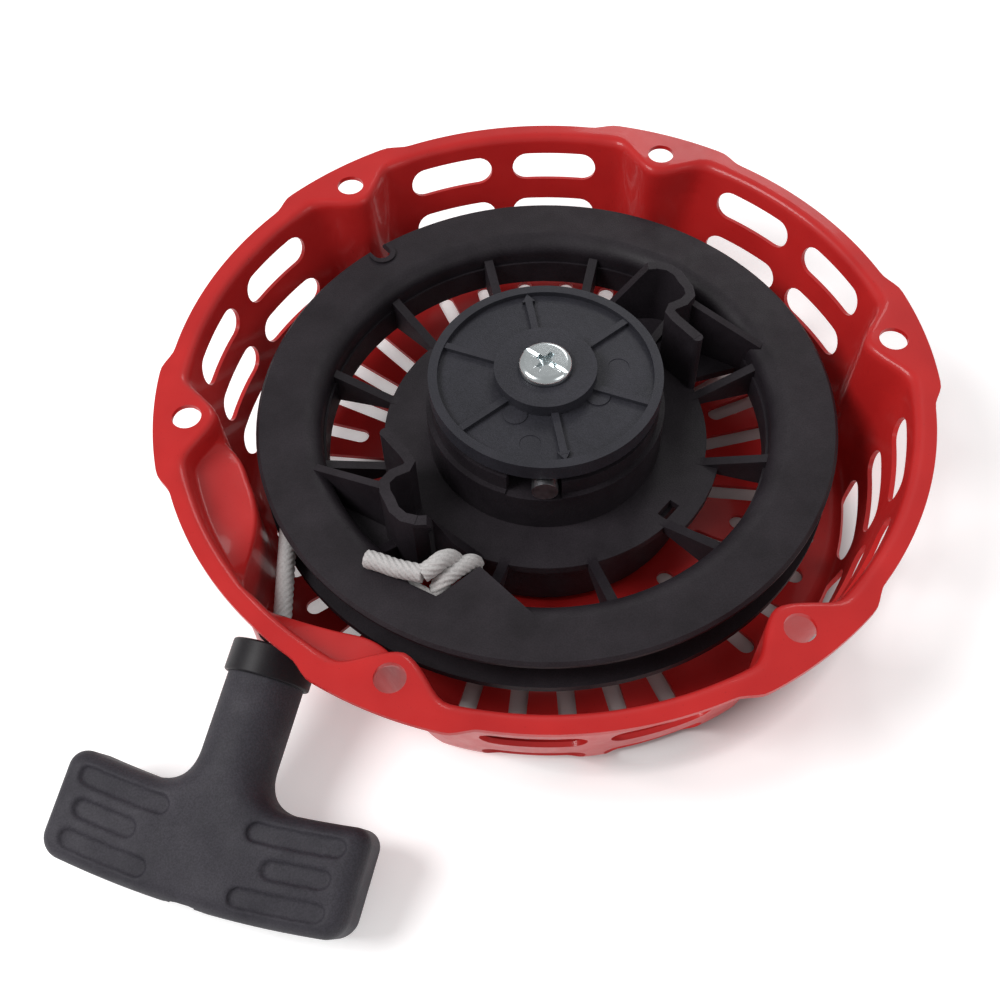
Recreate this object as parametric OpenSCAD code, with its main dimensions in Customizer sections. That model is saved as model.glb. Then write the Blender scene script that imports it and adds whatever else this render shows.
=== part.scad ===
// Recoil starter for a single-cylinder engine: a pressed steel housing, a rope reel on a fixed post,
// two pawls worked by a friction-braked guide disc, a flat coiled return spring, a rope and a T-grip.
// The origin is the centre of the bolt circle on the flange's engine-side face.
// +Z runs along the reel's axis towards the engine; the closed face of the housing is at -Z.

/* [Housing] */
// Diameter of the circle through the six flange bolt holes
bolt_circle_d = 216; // [215:0.5:217]
// Diameter of each flange bolt hole
bolt_hole_d = 8.8; // [6.6:0.2:9.4]
// Outer diameter of the flange between its tabs
flange_d = 231; // [229:1:233]
// Outer diameter of the flange at its six bolt tabs
tab_d = 236; // [234:1:240]
// Thickness of the pressed sheet
sheet = 1.5; // [1.2:0.1:1.8]
// Depth from the flange face to the inside of the closed face
cup_depth = 53; // [52:0.5:56]
// Height of each cooling slot in the wall
wall_slot_h = 10; // [6:0.5:11]
// Length of each cooling slot in the wall
wall_slot_len = 29.5; // [20:0.5:30]
// Width of each radial slot in the closed face
floor_slot_w = 5.5; // [4:0.5:6.5]

/* [Reel] */
// Outer diameter of the rope reel
reel_d = 180; // [176:1:182]
// Diameter of the opening inside the reel's ring
ring_bore_d = 140; // [136:1:142]
// Number of spokes between the hub disc and the ring
spoke_count = 12; // [8:1:12]
// Thickness of each spoke
spoke_t = 3; // [2:0.5:4]
// Diameter of the rope
rope_d = 5.5; // [5:0.1:5.6]

/* [Ratchet] */
// Outer diameter of the guide disc
guide_d = 71; // [69:0.5:71.5]
// Diameter of the reel's drum under the guide disc
drum_d = 74; // [73:0.5:76]
// Diameter of each pawl's round tooth
tooth_d = 7.8; // [7:0.1:7.8]
// Diameter of the post that carries the reel
post_d = 16; // [14:0.5:17]

/* [Handle] */
// Length of the grip bar
grip_len = 88; // [80:1:100]
// Height of the grip bar, along the stem
grip_h = 30.5; // [28:0.5:34]
// Thickness of the grip bar
grip_t = 22; // [20:0.5:24]
// Diameter of the grip stem
stem_d = 21.8; // [20:0.2:22]
// Direction in plan in which the handle is pulled, in degrees
pull_azimuth = -113.5; // [-114:0.5:-113]
// Angle by which the resting handle droops, in degrees
pull_droop = 16; // [14:1:17]

/* [Hidden] */
$fn = 96;
eps = 0.01;

// Heights along the reel axis
floor_z = -cup_depth;              // inside of the closed face
dish_z = floor_z + 2;              // inside of the dish pressed in at the centre
web_z = -26.5;                       // top of the reel's web
web_t = 3;
ring_z = -13;                      // top of the reel's ring
groove_top_z = -15;
groove_low_z = -27;
crown_w = 6.5;                     // width and height of the rounding at the ring's inner edge
crown_h = 5;
reel_low_z = -30.5;
deck_z = -12;                      // top of the drum, which the pawls lie on
drum_rim_z = -5.6;
drum_step_z = -11.4;
hook_z = -3;                       // top of the two curved stop walls
post_shoulder_z = -9.2;
guide_low_z = -3.2;
guide_face_z = 0.6;
guide_rim_z = 2.4;
guide_top_z = 5;

// Radii of the housing
mouth_r = 110.5;
wall_top_r = 109;
wall_low_r = 101;
corner_r = 8;
corner_z = floor_z + corner_r;
flange_r = flange_d / 2;
tab_r = tab_d / 2;
tab_half_angle = 11.5;
bolt_r = bolt_circle_d / 2;
tab_step = 60;

// Cooling slots
section_angles = [30, 90, 150, -30, -90];
wall_slot_spread = 9.9;
wall_slot_z = [-11.3, -29, -46.5];
floor_group_angle = 26.5;
floor_slot_step = 10;
floor_slot_out_r = 91;
floor_slot_long_r = 55;
floor_slot_short_r = 66;

// Deep wall between the two tabs beside the rope exit: radius and angle of its inside face
exit_contour = [
    [97, -178], [94.2, -174], [93.6, -170], [93.4, -165], [95.3, -160], [100, -155.5], [106.5, -151.2],
    [109.2, -148.5], [109.6, -146.2], [107, -143.5], [103.6, -140], [99, -134], [95.7, -128], [97, -122]
];
shelf_z = -10;
exit_floor_z = -40;

// Radii and angles of the reel
hub_disc_r = 51.5;
first_spoke = 8;

// Rope
rope_r = rope_d / 2;
inner_lay_r = 74.3;
outer_lay_r = 79;
lay_z = -21;
lay_pitch = 3;

// Angle at which both ends of the return spring are held
spring_angle = -17;

// Handle frame: origin on the grip's axis at the middle of the bar, +X outward along the stem
grip_centre = [-108.6, -119, -39.7];
stem_end = 52;                     // from the bar's middle back to the end of the stem
collar_low = 47.7;
collar_end = 57;
collar_r = 12.3;
exit_reach = 61.2;                 // from the bar's middle back to the rope exit in the wall
rope_bore_r = 3.2;

// Pawls, given for the first one; the second is turned by half a turn
tooth_angle = -98.3;
tooth_tip_r = 36.8;
pivot_r = 23;
pivot_lag = 48;
pivot_angle = tooth_angle - pivot_lag;
pawl_z = -11.9;
pawl_t = 5;
pin_r = 3;
running = 0.05;
guide_swing = 30;
pawl_swing = 20;

function polar(r, a) = [r * cos(a), r * sin(a)];
function arc(cx, cy, r, from, to, steps = 8) =
    [for (i = [0:steps]) [cx + r * cos(from + (to - from) * i / steps), cy + r * sin(from + (to - from) * i / steps)]];
function turned(p, a) = [p[0] * cos(a) - p[1] * sin(a), p[0] * sin(a) + p[1] * cos(a)];

// ---------- shapes used by several parts ----------

module tube(outer_r, inner_r, z0, z1) {
    translate([0, 0, z0])
        difference() {
            cylinder(r = outer_r, h = z1 - z0);
            translate([0, 0, -1]) cylinder(r = inner_r, h = z1 - z0 + 2);
        }
}

// A straight slot with round ends that is cut along +X, between x0 and x1
module slot_along_x(x0, x1, length, height) {
    for (side = [-1, 1])
        translate([x0, side * (length - height) / 2, 0]) rotate([0, 90, 0]) cylinder(d = height, h = x1 - x0);
    translate([x0, -(length - height) / 2, -height / 2]) cube([x1 - x0, length - height, height]);
}

// Unit normal to the left of a line of plan points, at point i
function side_of(points, i) =
    let (a = points[max(i - 1, 0)], b = points[min(i + 1, len(points) - 1)], run = (b - a) / norm(b - a))
    [-run[1], run[0]];

// Outline of a strip of constant thickness that follows a line of plan points
function strip(points, thickness) =
    let (last = len(points) - 1)
    concat([for (i = [0:last]) points[i] + side_of(points, i) * thickness / 2],
           [for (i = [last:-1:0]) points[i] - side_of(points, i) * thickness / 2]);

// A wall that stands on a line of plan points, between two heights
module plan_wall(points, thickness, z0, z1) {
    translate([0, 0, z0]) linear_extrude(height = z1 - z0) polygon(strip(points, thickness));
}

function unit(v) = v / norm(v);

// Round tube swept along a line of points in space; up is a direction that the line never takes
module swept_tube(points, r, sides = 10, up = [0, 0, 1]) {
    last = len(points) - 1;
    rings = [for (i = [0:last])
        let (t = unit(points[min(i + 1, last)] - points[max(i - 1, 0)]), u = unit(cross(up, t)), v = cross(t, u))
        [for (k = [0:sides - 1]) points[i] + r * (cos(360 * k / sides) * u + sin(360 * k / sides) * v)]];
    polyhedron(
        points = [for (ring = rings, p = ring) p],
        faces = concat(
            [[for (k = [0:sides - 1]) k]],
            [[for (k = [sides - 1:-1:0]) last * sides + k]],
            [for (i = [0:last - 1], k = [0:sides - 1], half = [0, 1])
                let (a = i * sides + k, b = i * sides + (k + 1) % sides)
                half == 0 ? [a, a + sides, b] : [b, a + sides, b + sides]]));
}

// Carries children from the handle's frame to the part's frame
module at_grip() {
    translate(grip_centre) rotate([0, 0, pull_azimuth]) rotate([0, pull_droop, 0]) children();
}

// Carries children to the rope exit, with +X pointing straight out of the wall
module at_exit() {
    out = exit_reach * cos(pull_droop);
    translate([grip_centre[0] - out * cos(pull_azimuth), grip_centre[1] - out * sin(pull_azimuth),
               grip_centre[2] + exit_reach * sin(pull_droop)])
        rotate([0, 0, pull_azimuth]) children();
}

// ---------- housing ----------

// Space beside the wall under one bolt tab; grow adds the sheet's thickness on the inside
module pocket_plan(grow) {
    translate([bolt_r, 0]) circle(r = 9 + grow);
    polygon([[bolt_r - 4, -8 - grow], [bolt_r + 3, -17 - grow], [bolt_r + 22, -17 - grow],
             [bolt_r + 22, 17 + grow], [bolt_r + 3, 17 + grow], [bolt_r - 4, 8 + grow]]);
}

module pockets(grow, top_z) {
    for (i = [0:5])
        rotate([0, 0, i * tab_step])
            translate([0, 0, floor_z - 20]) linear_extrude(height = top_z - floor_z + 20) pocket_plan(grow);
}

// Space outside the deep wall between the tabs beside the rope exit
module exit_recess(grow, top_z) {
    outer = [for (p = exit_contour) polar(140, p[1])];
    inner = [for (i = [len(exit_contour) - 1:-1:0]) polar(exit_contour[i][0] + sheet - grow, exit_contour[i][1])];
    translate([0, 0, floor_z - 20]) linear_extrude(height = top_z - floor_z + 20) polygon(concat(outer, inner));
}

// Upright bay that brings the wall out to the rope exit
module exit_bay(grow, low_z, top_z) {
    edge = [for (i = [3:11]) polar(exit_contour[i][0] + grow, exit_contour[i][1])];
    translate([0, 0, low_z]) linear_extrude(height = top_z - low_z) polygon(concat(edge, [polar(80, -134), polar(80, -165)]));
}

module cup_outside() {
    out = sheet;
    rotate_extrude()
        polygon(concat(
            [[0, dish_z - out], [28, dish_z - out], [32, floor_z - out]],
            arc(wall_low_r - corner_r, corner_z, corner_r + out, -90, -10),
            [[wall_top_r + out, -3], [mouth_r + 2, -out], [flange_r, -out], [flange_r, 0], [0, 0]]));
    for (i = [0:5])
        rotate([0, 0, i * tab_step])
            intersection() {
                tube(tab_r, flange_r - 1, -out, 0);
                translate([0, 0, -5])
                    linear_extrude(height = 10)
                        polygon([[0, 0], polar(150, -tab_half_angle), polar(150, tab_half_angle)]);
            }
}

module cup_inside() {
    rotate_extrude()
        polygon(concat(
            [[0, dish_z], [28, dish_z], [32, floor_z]],
            arc(wall_low_r - corner_r, corner_z, corner_r, -90, -10),
            [[wall_top_r, -3], [mouth_r, 0], [mouth_r, 1], [0, 1]]));
}

module wall_slots() {
    for (a = section_angles, side = [-1, 1], z = wall_slot_z)
        rotate([0, 0, a + side * wall_slot_spread])
            translate([0, 0, z]) slot_along_x(88, 125, wall_slot_len, wall_slot_h);
}

module floor_slots() {
    for (group = [0:5], i = [-2:2]) {
        in_r = i % 2 == 0 ? floor_slot_long_r : floor_slot_short_r;
        rotate([0, 0, floor_group_angle + group * tab_step + i * floor_slot_step]) {
            for (r = [in_r, floor_slot_out_r - floor_slot_w / 2])
                translate([r, 0, floor_z - 5]) cylinder(d = floor_slot_w, h = 10, $fn = 32);
            translate([in_r, -floor_slot_w / 2, floor_z - 5])
                cube([floor_slot_out_r - floor_slot_w / 2 - in_r, floor_slot_w, 10]);
        }
    }
}

module housing_shell() {
    color("firebrick")
        difference() {
            union() {
                difference() {
                    cup_outside();
                    pockets(0, -sheet);
                    exit_recess(0, shelf_z - sheet);
                }
                exit_bay(sheet, exit_floor_z - sheet, -sheet);
            }
            difference() {
                cup_inside();
                pockets(sheet, 5);
                exit_recess(sheet, shelf_z);
            }
            exit_bay(0, exit_floor_z, 1);
            wall_slots();
            floor_slots();
            for (i = [0:5])
                rotate([0, 0, i * tab_step]) translate([bolt_r, 0, -10]) cylinder(d = bolt_hole_d, h = 20);
            at_exit() translate([-8, 0, 0]) rotate([0, 90, 0]) cylinder(r = 6.5, h = 16);
        }
}

module centre_post() {
    spigot_r = 5;
    color("silver")
        difference() {
            union() {
                translate([0, 0, dish_z]) cylinder(r = 16, h = 2.5);
                translate([0, 0, dish_z]) cylinder(d = post_d, h = post_shoulder_z - dish_z);
                translate([0, 0, dish_z]) cylinder(r = spigot_r, h = guide_top_z + running - dish_z);
            }
            translate([0, 0, -20]) cylinder(r = 3, h = 40);
        }
}

module spring_hook() {
    color("silver")
        translate([17.1, -4, dish_z]) {
            cube([7, 8, 1.4]);
            cube([1.4, 8, 19]);
        }
}

module rope_eyelet() {
    flange_t = 1.2;
    color("dimgray")
        at_exit() rotate([0, 90, 0])
            difference() {
                union() {
                    translate([0, 0, -sheet - flange_t]) cylinder(r = 6.4, h = 2 * sheet + flange_t);
                    translate([0, 0, -sheet - flange_t - 0.4]) cylinder(r = 6.9, h = flange_t);
                }
                translate([0, 0, -10]) cylinder(r = 4.3, h = 20);
            }
}

module guide_screw() {
    head_r = 8.2;
    head_h = 2.7;
    crown_r = 14;
    slot_angle = -45;
    slot_w = 1.7;
    cross_l = 6.4;
    z = guide_top_z + running;
    color("gainsboro")
        difference() {
            union() {
                intersection() {
                    translate([0, 0, z]) cylinder(r = head_r, h = head_h);
                    translate([0, 0, z + head_h - crown_r]) sphere(r = crown_r);
                }
                translate([0, 0, -16]) cylinder(r = 2.98, h = z + 16 + eps);
            }
            // straight slot right across, and a cross recess in its middle
            rotate([0, 0, slot_angle]) translate([-head_r - 1, -slot_w / 2, z + head_h - 0.9]) cube([2 * head_r + 2, slot_w, 5]);
            for (a = [0, 90])
                rotate([0, 0, slot_angle + a])
                    translate([-cross_l / 2, -0.75, z + 0.7]) cube([cross_l, 1.5, 5]);
        }
}

// ---------- reel ----------

module reel_ring() {
    in_r = ring_bore_d / 2;
    out_r = reel_d / 2;
    ledge_z = -21.5;
    rotate_extrude()
        polygon(concat(
            [[in_r - 0.7, reel_low_z], [in_r - 0.7, ledge_z], [in_r, ledge_z]],
            [for (a = [180:-10:90]) [in_r + crown_w * (1 + cos(a)), ring_z - crown_h * (1 - sin(a))]],
            [[out_r - 1, ring_z], [out_r, ring_z - 1], [out_r, groove_top_z], [in_r + 3, groove_top_z],
             [in_r + 1.5, groove_top_z - 1.5], [in_r + 1.5, groove_low_z], [out_r, groove_low_z],
             [out_r, reel_low_z + 1], [out_r - 1, reel_low_z]]));
}

module spoke(angle) {
    rotate([0, 0, angle])
        translate([0, spoke_t / 2, 0])
            rotate([90, 0, 0])
                linear_extrude(height = spoke_t)
                    polygon([[46, web_z - web_t + 0.1], [70.7, reel_low_z + 0.4], [70.7, ring_z - 5], [hub_disc_r, web_z + 0.2],
                             [46, web_z - 0.2]]);
}

// Plan of one curved stop wall, from its low end on the hub disc to its free end
stop_wall = [[43.3, 44.1], [46.8, 42.6], [49.2, 39.6], [50.2, 36], [51.3, 33], [51.2, 29.6], [48.6, 27],
             [44.5, 25.6], [43.3, 23.6], [44.6, 20.4], [49.7, 11.9]];

module stop_walls() {
    wall_t = 3.2;
    low = [25.4, 45.9];
    run = stop_wall[0] - low;
    last = stop_wall[len(stop_wall) - 1];
    for (half = [0, 180])
        rotate([0, 0, half]) {
            plan_wall(stop_wall, wall_t, web_z - 1, hook_z);
            translate([low[0], low[1], 0])
                rotate([0, 0, atan2(run[1], run[0])])
                    translate([0, wall_t / 2, 0])
                        rotate([90, 0, 0])
                            linear_extrude(height = wall_t)
                                polygon([[0, web_z - 1.2], [norm(run) + 0.6, web_z - 1.2], [norm(run) + 0.6, hook_z - 0.2],
                                         [norm(run) - 3, hook_z - 0.2], [0, web_z + 1]]);
            translate([last[0], last[1], web_z - 0.9]) cylinder(d = wall_t + 0.2, h = hook_z - web_z + 0.8, $fn = 32);
            // brace from the wall's bend out onto the ring's crown
            brace = polar(73.5, 11) - stop_wall[5];
            translate([stop_wall[5][0], stop_wall[5][1], 0])
                rotate([0, 0, atan2(brace[1], brace[0])])
                    translate([0, 1.2, 0])
                        rotate([90, 0, 0])
                            linear_extrude(height = 2.4)
                                polygon([[0, web_z - 1.4], [norm(brace) - 3.6, web_z - 1.4], [norm(brace) - 3.6, groove_top_z - 0.4],
                                         [norm(brace), groove_top_z + 0.4], [norm(brace), ring_z - 0.3], [0, hook_z - 2.5]]);
            // floor between the wall and the ring
            translate([0, 0, web_z - web_t + 0.2])
                linear_extrude(height = web_t - 0.4)
                    polygon(concat([polar(46, 17)], [for (a = [14.2:6:44.2]) polar(70.6, a)], [polar(46, 62)]));
        }
}

// Flat land beside the rope pocket, level with the top of the ring
module rope_land() {
    land_tip = polar(61.7, -115.7);
    translate([0, 0, web_z - web_t + 0.3])
        linear_extrude(height = groove_top_z - web_z + web_t)
            polygon(concat([land_tip], [for (a = [-119.8:5:-104.8]) polar(70.6, a)]));
    translate([0, 0, groove_top_z + 0.2])
        linear_extrude(height = ring_z - groove_top_z - 0.25)
            polygon(concat([land_tip], [for (a = [-122.6:4:-98.6]) polar(76.9, a)]));
}

module reel() {
    hub_r = 12;
    drum_r = drum_d / 2;
    cup_r = 49.3;
    rim_out_r = drum_r - 1.7;
    rim_in_r = drum_r - 4;
    color([0.12, 0.12, 0.13])
        difference() {
            union() {
                reel_ring();
                translate([0, 0, web_z - web_t]) cylinder(r = hub_disc_r, h = web_t);
                // wider part of the hub disc round the spring's anchor hole
                translate([0, 0, web_z - web_t + 0.15])
                    linear_extrude(height = web_t - 0.2)
                        polygon(concat([polar(44, -51)], [for (a = [-51.5:7:-23.5]) polar(56, a)], [polar(44, -23)]));
                for (i = [0:spoke_count - 1]) spoke(first_spoke + i * 360 / spoke_count);
                tube(cup_r - 1.2, 46.5, dish_z + 1, web_z - 1);
                translate([0, 0, dish_z + 3]) cylinder(r = hub_r, h = deck_z - dish_z - 4);
                difference() {
                    union() {
                        translate([0, 0, web_z - 1]) cylinder(r = drum_r, h = drum_step_z - web_z + 1);
                        translate([0, 0, web_z - 1]) cylinder(r = rim_out_r, h = drum_rim_z - web_z + 1);
                    }
                    translate([0, 0, deck_z]) cylinder(r = rim_in_r, h = 20);
                }
                stop_walls();
                rope_land();
                rotate([0, 0, 122.3]) translate([85.4, 0, ring_z - 1]) cylinder(r = 4.4, h = 1.8);
            }
            // relief under the drum
            difference() {
                tube(33.5, hub_r + 0.6, web_z - web_t - 1, deck_z - 3);
                for (half = [0, 180])
                    rotate([0, 0, half + pivot_angle])
                        translate([pivot_r, 0, web_z - web_t - 2]) cylinder(r = 6.5, h = 20);
            }
            translate([0, 0, dish_z]) cylinder(d = post_d + 2 * running, h = 60);
            for (half = [0, 180]) {
                rotate([0, 0, half + pivot_angle])
                    translate([pivot_r, 0, web_z]) cylinder(r = pin_r + running, h = 20);
                // gap in the drum's rim that each tooth swings through
                translate([0, 0, deck_z])
                    linear_extrude(height = 12)
                        rotate([0, 0, half])
                            polygon([polar(30, tooth_angle + 8), polar(42, tooth_angle + 8), polar(42, tooth_angle - 18.5),
                                     polar(30, tooth_angle - 19)]);
            }
            // starting notch in the ring's edge
            rotate([0, 0, 122.3]) translate([86, 0, groove_top_z - 1]) cylinder(r = 3, h = 8);
            rotate([0, 0, 122.3]) translate([86, -3, groove_top_z - 1]) cube([8, 6, 8]);
            // pocket where the rope passes from the groove to the top of the ring
            translate([0, 0, lay_z - 4])
                linear_extrude(height = 20)
                    polygon([polar(75.2, -122.2), polar(61.7, -115.7), polar(58, -119), polar(58, -133), polar(71.5, -136),
                             polar(75.2, -128.7)]);
            rotate([0, 0, -126]) translate([70, 0, lay_z]) rotate([0, 90, 0]) cylinder(r = 3.2, h = 8);
            // spring anchor slot in the spring cup
            rotate([0, 0, spring_angle]) translate([45, -2, dish_z]) cube([6, 4, 22]);
            // spring anchor hole in the hub disc
            rotate([0, 0, -47]) translate([46.8, -3.3, web_z - web_t - 0.3]) cube([3.4, 6.6, 8]);
        }
}

module rope_coil() {
    color("whitesmoke") {
        for (side = [-1, 1])
            translate([0, 0, lay_z + side * lay_pitch]) rotate_extrude() translate([inner_lay_r, 0]) circle(d = rope_d - 0.05, $fn = 32);
        translate([0, 0, lay_z]) rotate_extrude() translate([outer_lay_r, 0]) circle(d = rope_d - 0.1, $fn = 32);
    }
}

module rope_tail() {
    color("whitesmoke")
        swept_tube([[-59.3, -50.1, -10.2], [-54.6, -52.4, -10.2], [-50.5, -54.7, -10.2], [-45.4, -56.75, -10.2]], rope_r);
}

module rope_loop() {
    color("whitesmoke") {
        swept_tube([[-42.5, -57.5, -9.9], [-40.1, -56.4, -9.2], [-37.6, -54.6, -9.2], [-35.2, -53.2, -10.8], [-33.6, -52.4, -14],
                    [-33.2, -52.2, -17.5]], rope_r, up = [1, 1, 0]);
        swept_tube([[-38.5, -58.9, -13.9], [-36.4, -57.7, -13.2], [-32.9, -55.5, -13], [-29.3, -53.3, -14.6],
                    [-27.8, -52.3, -17.5]], rope_r, up = [1, 1, 0]);
    }
}

// Flat strip wound as an evenly opening spiral, with a bent end inside and outside
module mainspring() {
    turns = 6;
    strip_t = 0.8;
    start_r = 20;
    end_r = 45.2;
    tab_angle = 2.3;
    steps = turns * 30;
    function coil_r(i) = start_r + (end_r - start_r) * i / steps;
    function coil_a(i) = spring_angle + turns * 360 * i / steps;
    line = [for (i = [1:steps]) polar(coil_r(i), coil_a(i))];
    back = [for (i = [steps - 1:-1:0]) polar(coil_r(i) + strip_t, coil_a(i))];
    inner_end = [polar(start_r - 1.5, spring_angle), polar(start_r - 1.5, spring_angle + tab_angle)];
    outer_end = [polar(end_r + 2.8, spring_angle), polar(end_r + 2.8, spring_angle - 1), polar(end_r + strip_t, spring_angle - 1)];
    color("slategray")
        translate([0, 0, dish_z + 1.6])
            linear_extrude(height = 17) polygon(concat(inner_end, [polar(start_r, spring_angle + tab_angle)], line, outer_end, back));
}

// Wire coil round the pawl's pivot with one leg out to the drum's rim
module pawl_spring() {
    coil_r = 3.9;
    turns = 1.6;
    coil = [for (a = [0:24:turns * 360]) [coil_r * cos(a), coil_r * sin(a), 1.1 * a / 360]];
    last = coil[len(coil) - 1];
    leg_a = turns * 360 + 90;
    color("silver")
        rotate([0, 0, pivot_angle])
            translate([pivot_r, 0, pawl_z + pawl_t + 0.7])
                rotate([0, 0, 60])
                    swept_tube(concat(coil, [last + [3 * cos(leg_a), 3 * sin(leg_a), 0.1], last + [7 * cos(leg_a), 7 * sin(leg_a), 0.1]]),
                               0.45, sides = 8);
}

module pawl_spring_a() {
    pawl_spring();
}

module pawl_spring_b() {
    rotate([0, 0, 180]) pawl_spring();
}

// ---------- pawls and guide ----------

pivot = polar(pivot_r, pivot_angle);
tooth_root = polar(27.5, tooth_angle);
peg = pivot + 0.5 * (polar(tooth_tip_r - 9, tooth_angle) - pivot);

module pawl() {
    tooth_z = pawl_z + tooth_d / 2 + 0.2;
    peg_r = 1.8;
    color("gray") {
        translate([pivot[0], pivot[1], pawl_z - 8]) cylinder(r = pin_r, h = pawl_t + 9.6);
        translate([pivot[0], pivot[1], pawl_z]) cylinder(r = 5.4, h = pawl_t);
        plan_wall([pivot, tooth_root], 7, pawl_z, pawl_z + pawl_t);
        rotate([0, 0, tooth_angle])
            translate([tooth_tip_r - 12, 0, tooth_z]) rotate([0, 90, 0]) cylinder(d = tooth_d, h = 12);
        translate([peg[0], peg[1], pawl_z]) cylinder(r = peg_r, h = -pawl_z - 1);
    }
}

module pawl_a() {
    pawl();
}

module pawl_b() {
    rotate([0, 0, 180]) pawl();
}

// Where the peg is, in the guide's frame, when the guide has turned by a share t of its swing
function peg_path(t) = turned(pivot + turned(peg - pivot, -pawl_swing * t), guide_swing * t);

module ratchet_guide() {
    out_r = guide_d / 2;
    rim_t = 2.8;
    rib_angles = [92, -88, 32, -28, -148, 152];
    color([0.16, 0.17, 0.2])
        difference() {
            union() {
                tube(out_r, out_r - rim_t, guide_low_z, guide_rim_z);
                translate([0, 0, guide_face_z - 1.6]) cylinder(r = out_r - 1, h = 1.6);
                translate([0, 0, guide_low_z]) cylinder(r = 15.5, h = guide_top_z - guide_low_z);
                for (i = [0:5])
                    rotate([0, 0, rib_angles[i]])
                        translate([8, -1.1, guide_face_z - eps]) cube([i < 2 ? 22.6 : out_r - 9.5, 2.2, 1.4]);
                // arrow heads on the two short ribs
                for (i = [0, 1])
                    rotate([0, 0, rib_angles[i]])
                        translate([29.6, 0, guide_face_z - 0.1])
                            linear_extrude(height = 1.4) polygon([[0, -2], [3.2, 0], [0, 2]]);
                // raised ejector discs beside the boss
                for (p = [[17.6, -35], [17.4, -129]])
                    translate([polar(p[0], p[1])[0], polar(p[0], p[1])[1], guide_face_z - 0.5]) cylinder(r = 3.6, h = 0.9, $fn = 48);
                // cam tracks for the pawl pegs
                for (half = [0, 180])
                    translate([0, 0, guide_low_z])
                        linear_extrude(height = guide_face_z - guide_low_z - 1)
                            rotate([0, 0, half])
                                polygon(concat([for (a = [-132:8:-68]) polar(33.5, a)], [for (a = [-68:-8:-132]) polar(14, a)]));
            }
            translate([0, 0, -20]) cylinder(r = 5 + running, h = 40);
            // seat for the friction spring
            translate([0, 0, guide_low_z - 1]) cylinder(r = 9.6, h = 4.6);
            for (half = [0, 180], k = [-1:13])
                rotate([0, 0, half])
                    translate([peg_path(k / 12)[0], peg_path(k / 12)[1], guide_low_z - 1]) cylinder(r = 2.4, h = 3.3, $fn = 32);
            // shallow ejector marks
            for (p = [[22.5, 1], [26, -108]])
                translate([polar(p[0], p[1])[0], polar(p[0], p[1])[1], guide_face_z - 0.2]) cylinder(r = 3.2, h = 1, $fn = 48);
        }
}

// Wire coil that grips the post and drags the guide disc, with one leg in the guide's slot
module friction_spring() {
    coil_r = 6.2;
    turns = 2.4;
    coil = [for (a = [0:20:turns * 360]) [coil_r * cos(a), coil_r * sin(a), 1.3 * a / 360]];
    last = coil[len(coil) - 1];
    leg_a = turns * 360 + 50;
    color("silver")
        translate([0, 0, guide_low_z - 4.1])
            swept_tube(concat(coil, [last + 1.5 * [cos(leg_a), sin(leg_a), 0], last + 6 * [cos(leg_a), sin(leg_a), 0]]), 0.6, sides = 8);
}

// ---------- handle ----------

// A bar with rounded edges and corners, centred on the origin
module rounded_bar(size, r) {
    hull()
        for (x = [-1, 1], y = [-1, 1], z = [-1, 1])
            translate([x * (size[0] / 2 - r), y * (size[1] / 2 - r), z * (size[2] / 2 - r)]) sphere(r = r, $fn = 24);
}

module handle_grip() {
    groove_w = 5;
    color([0.13, 0.13, 0.14])
        at_grip()
            difference() {
                union() {
                    rounded_bar([grip_h, grip_len, grip_t], 6);
                    translate([-stem_end, 0, 0]) rotate([0, 90, 0]) cylinder(d = stem_d, h = stem_end);
                }
                translate([-60, 0, 0]) rotate([0, 90, 0]) cylinder(r = rope_bore_r, h = 80);
                translate([0, 0, 0]) rotate([0, 90, 0]) cylinder(r = 8, h = 20);
                for (side = [-1, 1], row = [-1, 0, 1], face = [-1, 1])
                    translate([row * 8.2, side * 24, face * grip_t / 2]) {
                        for (end = [-1, 1])
                            translate([0, end * 9, -0.6]) cylinder(d = groove_w, h = 1.2, $fn = 32);
                        translate([-groove_w / 2, -9, -0.6]) cube([groove_w, 18, 1.2]);
                    }
            }
}

module handle_collar() {
    color([0.16, 0.16, 0.17])
        at_grip() rotate([0, -90, 0])
            difference() {
                translate([0, 0, collar_low]) cylinder(r = collar_r, h = collar_end - collar_low);
                translate([0, 0, collar_low - 1]) cylinder(d = stem_d + 0.04, h = stem_end - collar_low + 1);
                cylinder(r = rope_bore_r, h = 80);
            }
}

module handle_knot() {
    color("whitesmoke")
        at_grip() translate([6.2, 0, 0]) rotate([0, 90, 0])
            rotate_extrude() intersection() {
                circle(r = 6, $fn = 48);
                translate([0, -10]) square([10, 20]);
            }
}

module rope_run() {
    color("whitesmoke")
        at_grip() translate([-exit_reach + 1, 0, 0]) rotate([0, 90, 0]) cylinder(r = rope_r, h = exit_reach - 1, $fn = 32);
}

// Rope from the reel's groove to the exit
module rope_lead() {
    out = exit_reach * cos(pull_droop);
    exit = [grip_centre[0] - out * cos(pull_azimuth), grip_centre[1] - out * sin(pull_azimuth),
            grip_centre[2] + exit_reach * sin(pull_droop)];
    reach = sqrt(exit[0] * exit[0] + exit[1] * exit[1]);
    touch = atan2(exit[1], exit[0]) - acos(outer_lay_r / reach);
    tangent = polar(outer_lay_r, touch);
    start = [tangent[0], tangent[1], lay_z];
    clear = start + (exit - start) * 31 / norm(exit - start);
    color("whitesmoke") swept_tube([clear, (clear + exit) / 2, exit - (exit - start) * 0.02], rope_r);
}

housing_shell();
centre_post();
spring_hook();
rope_eyelet();
guide_screw();
rope_lead();
reel();
rope_coil();
rope_tail();
rope_loop();
mainspring();
pawl_spring_a();
pawl_spring_b();
pawl_a();
pawl_b();
ratchet_guide();
friction_spring();
handle_grip();
handle_collar();
handle_knot();
rope_run();
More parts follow.
